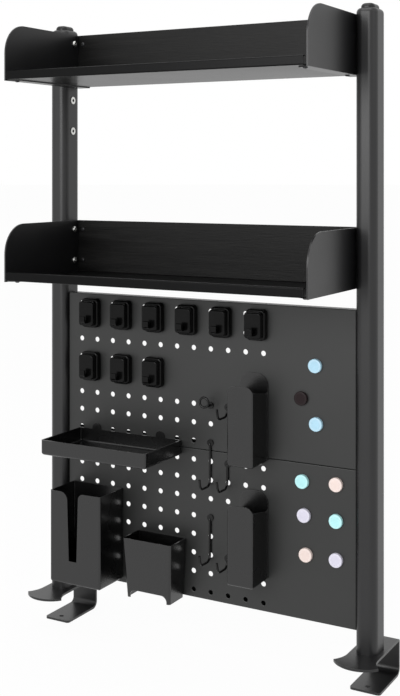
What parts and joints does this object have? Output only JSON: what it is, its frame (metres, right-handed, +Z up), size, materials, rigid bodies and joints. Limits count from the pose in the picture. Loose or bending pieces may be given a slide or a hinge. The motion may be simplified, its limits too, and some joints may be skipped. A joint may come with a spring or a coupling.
{
  "type": "desk pegboard rack",
  "caption": "Clamp-on desk rack with open shelves above perforated steel panels that carry plug-in holders, wire hooks and round magnets.",
  "frame": {"origin": "middle of the desk's rear top edge, between the clamps: at the brackets' rear walls and the underside of their top plates", "axes": "+X to the right, +Y away from the person at the desk, +Z up"},
  "size_m": [0.524, 0.211, 0.852],
  "materials": {
    "black_frame": "fine satin powder coat",
    "black_clamp": "satin powder coat",
    "black_panel": "matte powder coat",
    "black_shelf": "matte powder coat",
    "shelf_pan": "satin powder coat",
    "wood_grain_board": "black wood grain",
    "dark_plastic": "satin",
    "holder_black": "matte powder coat",
    "wire_black": "gloss coat",
    "hook_gloss_black": "gloss",
    "pad_grey": "foam tape",
    "bright_fastener": "zinc plated",
    "dark_fastener": "black oxide",
    "magnet_light_blue": "gloss",
    "magnet_dark_brown": "gloss",
    "magnet_cyan": "gloss",
    "magnet_peach": "gloss",
    "magnet_lilac": "gloss"
  },
  "bodies": {
    "rack": {"board_screws": "dark_fastener", "foot_screws": "dark_fastener", "hook_pads": "pad_grey", "left_clamp_bracket": "black_clamp", "left_foot_insert": "dark_plastic", "left_top_cap": "dark_plastic", "left_upright": "black_frame", "lower_peg_panel": "black_panel", "lower_shelf_back_board": "wood_grain_board", "lower_shelf_left_end": "black_shelf", "lower_shelf_pan": "shelf_pan", "lower_shelf_right_end": "black_shelf", "pan_screws": "dark_fastener", "panel_screws": "bright_fastener", "right_clamp_bracket": "black_clamp", "right_foot_insert": "dark_plastic", "right_top_cap": "dark_plastic", "right_upright": "black_frame", "rivet_nuts": "bright_fastener", "shelf_screws": "bright_fastener", "square_hook_1": "hook_gloss_black", "square_hook_2": "hook_gloss_black", "square_hook_3": "hook_gloss_black", "square_hook_4": "hook_gloss_black", "square_hook_5": "hook_gloss_black", "square_hook_6": "hook_gloss_black", "square_hook_7": "hook_gloss_black", "square_hook_8": "hook_gloss_black", "square_hook_9": "hook_gloss_black", "upper_peg_panel": "black_panel", "upper_shelf_back_board": "wood_grain_board", "upper_shelf_left_end": "black_shelf", "upper_shelf_pan": "shelf_pan", "upper_shelf_right_end": "black_shelf"},
    "tray_body": {"tray": "holder_black"},
    "slotted_box_body": {"slotted_box": "holder_black"},
    "cup_body": {"cup": "holder_black"},
    "upper_pen_box_body": {"upper_pen_box": "holder_black"},
    "lower_pen_box_body": {"lower_pen_box": "holder_black"},
    "ring_hook_body": {"ring_hook": "wire_black"},
    "upper_long_hook_body": {"upper_long_hook": "wire_black"},
    "lower_long_hook_body": {"lower_long_hook": "wire_black"},
    "upper_short_hook_body": {"upper_short_hook": "wire_black"},
    "middle_short_hook_body": {"middle_short_hook": "wire_black"},
    "lower_short_hook_body": {"lower_short_hook": "wire_black"},
    "magnet_1_body": {"magnet_1": "magnet_light_blue"},
    "magnet_2_body": {"magnet_2": "magnet_dark_brown"},
    "magnet_3_body": {"magnet_3": "magnet_light_blue"},
    "magnet_4_body": {"magnet_4": "magnet_cyan"},
    "magnet_5_body": {"magnet_5": "magnet_peach"},
    "magnet_6_body": {"magnet_6": "magnet_lilac"},
    "magnet_7_body": {"magnet_7": "magnet_cyan"},
    "magnet_8_body": {"magnet_8": "magnet_peach"},
    "magnet_9_body": {"magnet_9": "magnet_lilac"}
  },
  "joints": [
    {"name": "tray_pull", "type": "slide", "parent": "rack", "child": "tray_body", "axis": [0, -1, 0], "range_m": [0, 0.025]},
    {"name": "slotted_box_pull", "type": "slide", "parent": "rack", "child": "slotted_box_body", "axis": [0, -1, 0], "range_m": [0, 0.025]},
    {"name": "cup_pull", "type": "slide", "parent": "rack", "child": "cup_body", "axis": [0, -1, 0], "range_m": [0, 0.025]},
    {"name": "upper_pen_box_pull", "type": "slide", "parent": "rack", "child": "upper_pen_box_body", "axis": [0, -1, 0], "range_m": [0, 0.025]},
    {"name": "lower_pen_box_pull", "type": "slide", "parent": "rack", "child": "lower_pen_box_body", "axis": [0, -1, 0], "range_m": [0, 0.025]},
    {"name": "ring_hook_pull", "type": "slide", "parent": "rack", "child": "ring_hook_body", "axis": [0, -1, 0], "range_m": [0, 0.025]},
    {"name": "upper_long_hook_pull", "type": "slide", "parent": "rack", "child": "upper_long_hook_body", "axis": [0, -1, 0], "range_m": [0, 0.025]},
    {"name": "lower_long_hook_pull", "type": "slide", "parent": "rack", "child": "lower_long_hook_body", "axis": [0, -1, 0], "range_m": [0, 0.025]},
    {"name": "upper_short_hook_pull", "type": "slide", "parent": "rack", "child": "upper_short_hook_body", "axis": [0, -1, 0], "range_m": [0, 0.025]},
    {"name": "middle_short_hook_pull", "type": "slide", "parent": "rack", "child": "middle_short_hook_body", "axis": [0, -1, 0], "range_m": [0, 0.025]},
    {"name": "lower_short_hook_pull", "type": "slide", "parent": "rack", "child": "lower_short_hook_body", "axis": [0, -1, 0], "range_m": [0, 0.025]},
    {"name": "magnet_1_pull", "type": "slide", "parent": "rack", "child": "magnet_1_body", "axis": [0, -1, 0], "range_m": [0, 0.015]},
    {"name": "magnet_2_pull", "type": "slide", "parent": "rack", "child": "magnet_2_body", "axis": [0, -1, 0], "range_m": [0, 0.015]},
    {"name": "magnet_3_pull", "type": "slide", "parent": "rack", "child": "magnet_3_body", "axis": [0, -1, 0], "range_m": [0, 0.015]},
    {"name": "magnet_4_pull", "type": "slide", "parent": "rack", "child": "magnet_4_body", "axis": [0, -1, 0], "range_m": [0, 0.015]},
    {"name": "magnet_5_pull", "type": "slide", "parent": "rack", "child": "magnet_5_body", "axis": [0, -1, 0], "range_m": [0, 0.015]},
    {"name": "magnet_6_pull", "type": "slide", "parent": "rack", "child": "magnet_6_body", "axis": [0, -1, 0], "range_m": [0, 0.015]},
    {"name": "magnet_7_pull", "type": "slide", "parent": "rack", "child": "magnet_7_body", "axis": [0, -1, 0], "range_m": [0, 0.015]},
    {"name": "magnet_8_pull", "type": "slide", "parent": "rack", "child": "magnet_8_body", "axis": [0, -1, 0], "range_m": [0, 0.015]},
    {"name": "magnet_9_pull", "type": "slide", "parent": "rack", "child": "magnet_9_body", "axis": [0, -1, 0], "range_m": [0, 0.015]}
  ]
}
